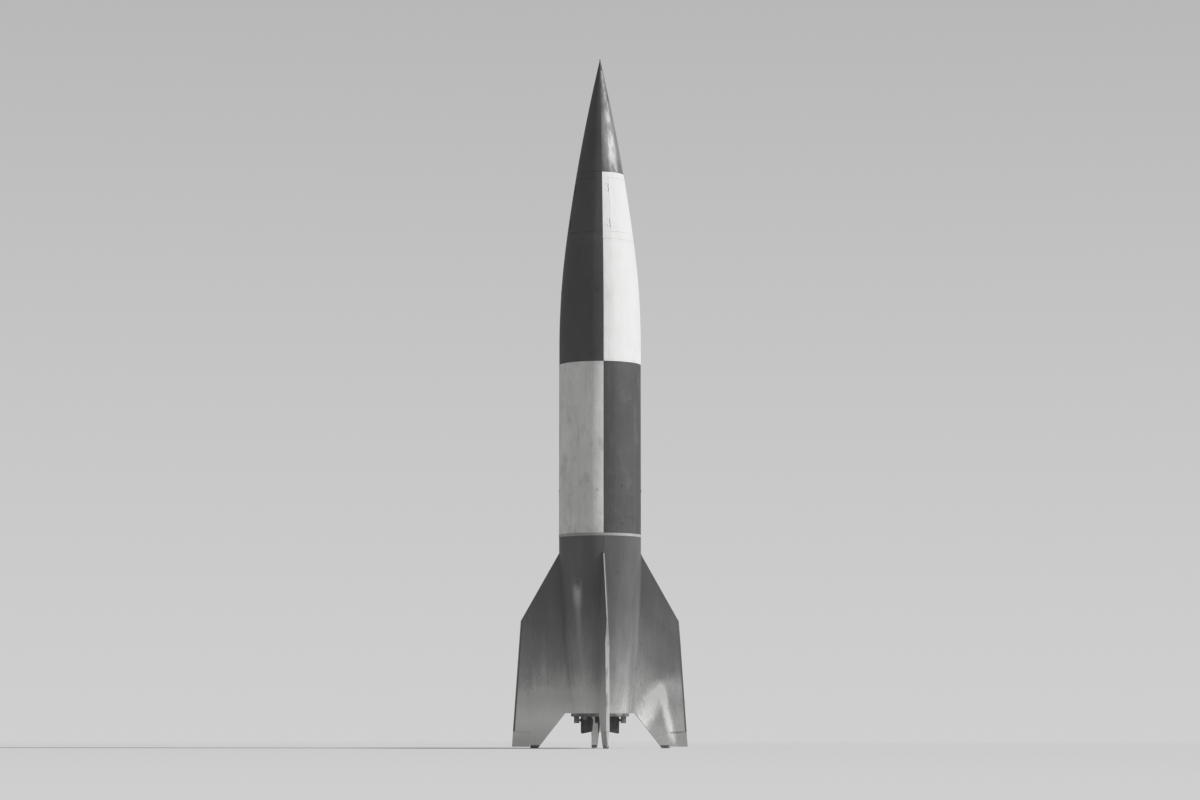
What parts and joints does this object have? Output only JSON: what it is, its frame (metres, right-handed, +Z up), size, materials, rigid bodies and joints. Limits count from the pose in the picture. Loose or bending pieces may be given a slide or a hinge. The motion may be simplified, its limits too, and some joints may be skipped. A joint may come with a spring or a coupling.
{
  "type": "single-stage liquid-fuel sounding rocket",
  "caption": "Slender liquid-fuel rocket with an ogive nose, hinged bay doors, a boat-tail, large swept fins with air vanes, and graphite vanes under its nozzle.",
  "frame": {"origin": "on the ground under the rocket's axis, between its four fins", "axes": "+Z up along the rocket's axis; fins 1 to 4 point along +X, +Y, -X and -Y; the picture looks nearly along +Y"},
  "size_m": [3.5342, 3.5342, 14.03],
  "materials": {
    "black_paint": "matt black paint, weathered",
    "white_paint": "matt white paint, weathered",
    "tail_paint": "matt black paint, dusty and heat-bleached towards the base",
    "bare_metal": "bare sheet metal, rolled and slightly dull",
    "steel": "dark heat-stained steel",
    "graphite": "machined graphite, dull black",
    "plywood": "varnished plywood"
  },
  "bodies": {
    "airframe": {"nose_tip": "black_paint", "nose_cone": "bare_metal", "bay_top_bulkhead": "black_paint", "bay_floor_bulkhead": "black_paint", "bay_partition_long": "plywood", "bay_partition_front": "plywood", "bay_partition_back": "plywood", "bay_post_1": "black_paint", "bay_post_2": "black_paint", "bay_post_3": "black_paint", "bay_post_4": "black_paint", "upper_skin_1": "black_paint", "upper_skin_2": "white_paint", "upper_skin_3": "black_paint", "upper_skin_4": "white_paint", "lower_skin_1": "white_paint", "lower_skin_2": "black_paint", "lower_skin_3": "white_paint", "lower_skin_4": "black_paint", "tail_joint_band": "white_paint", "tail_skin_1": "tail_paint", "tail_skin_2": "tail_paint", "tail_skin_3": "tail_paint", "tail_skin_4": "tail_paint", "fin_1": "tail_paint", "fin_2": "tail_paint", "fin_3": "tail_paint", "fin_4": "tail_paint", "fin_foot_1": "steel", "fin_foot_2": "steel", "fin_foot_3": "steel", "fin_foot_4": "steel", "oxygen_vent": "bare_metal", "tail_ring": "steel", "base_shroud": "steel", "thrust_chamber": "steel", "thrust_frame": "steel", "turbopump_block": "steel", "turbine_exhaust_1": "steel", "turbine_exhaust_2": "steel", "vane_bracket_1": "steel", "vane_bracket_2": "steel", "vane_bracket_3": "steel", "vane_bracket_4": "steel"},
    "door_1": {"bay_door_1": "black_paint"},
    "door_2": {"bay_door_2": "white_paint"},
    "door_3": {"bay_door_3": "black_paint"},
    "door_4": {"bay_door_4": "white_paint"},
    "air_vane_1": {"air_vane_1": "tail_paint"},
    "air_vane_2": {"air_vane_2": "tail_paint"},
    "air_vane_3": {"air_vane_3": "tail_paint"},
    "air_vane_4": {"air_vane_4": "tail_paint"},
    "jet_vane_1": {"jet_vane_1": "graphite"},
    "jet_vane_2": {"jet_vane_2": "graphite"},
    "jet_vane_3": {"jet_vane_3": "graphite"},
    "jet_vane_4": {"jet_vane_4": "graphite"}
  },
  "joints": [
    {"name": "door_1_hinge", "type": "hinge", "parent": "airframe", "child": "door_1", "pos_m": [0.57862, 0.14427, 10.93632], "axis": [0.1423, 0.0355, -0.9892], "range_deg": [0, 105]},
    {"name": "door_2_hinge", "type": "hinge", "parent": "airframe", "child": "door_2", "pos_m": [-0.14427, 0.57862, 10.93632], "axis": [-0.0355, 0.1423, -0.9892], "range_deg": [0, 105]},
    {"name": "door_3_hinge", "type": "hinge", "parent": "airframe", "child": "door_3", "pos_m": [-0.57862, -0.14427, 10.93632], "axis": [-0.1423, -0.0355, -0.9892], "range_deg": [0, 105]},
    {"name": "door_4_hinge", "type": "hinge", "parent": "airframe", "child": "door_4", "pos_m": [0.14427, -0.57862, 10.93632], "axis": [0.0355, -0.1423, -0.9892], "range_deg": [0, 105]},
    {"name": "air_vane_1_shaft", "type": "hinge", "parent": "airframe", "child": "air_vane_1", "pos_m": [1.3, 0, 0.315], "axis": [1, 0, 0], "range_deg": [-25, 25]},
    {"name": "air_vane_2_shaft", "type": "hinge", "parent": "airframe", "child": "air_vane_2", "pos_m": [0, 1.3, 0.315], "axis": [0, 1, 0], "range_deg": [-25, 25]},
    {"name": "air_vane_3_shaft", "type": "hinge", "parent": "airframe", "child": "air_vane_3", "pos_m": [-1.3, 0, 0.315], "axis": [-1, 0, 0], "range_deg": [-25, 25]},
    {"name": "air_vane_4_shaft", "type": "hinge", "parent": "airframe", "child": "air_vane_4", "pos_m": [0, -1.3, 0.315], "axis": [0, -1, 0], "range_deg": [-25, 25]},
    {"name": "jet_vane_1_shaft", "type": "hinge", "parent": "airframe", "child": "jet_vane_1", "pos_m": [0.45, 0, 0.56], "axis": [1, 0, 0], "range_deg": [-25, 25]},
    {"name": "jet_vane_2_shaft", "type": "hinge", "parent": "airframe", "child": "jet_vane_2", "pos_m": [0, 0.45, 0.56], "axis": [0, 1, 0], "range_deg": [-25, 25]},
    {"name": "jet_vane_3_shaft", "type": "hinge", "parent": "airframe", "child": "jet_vane_3", "pos_m": [-0.45, 0, 0.56], "axis": [-1, 0, 0], "range_deg": [-25, 25]},
    {"name": "jet_vane_4_shaft", "type": "hinge", "parent": "airframe", "child": "jet_vane_4", "pos_m": [0, -0.45, 0.56], "axis": [0, -1, 0], "range_deg": [-25, 25]}
  ]
}
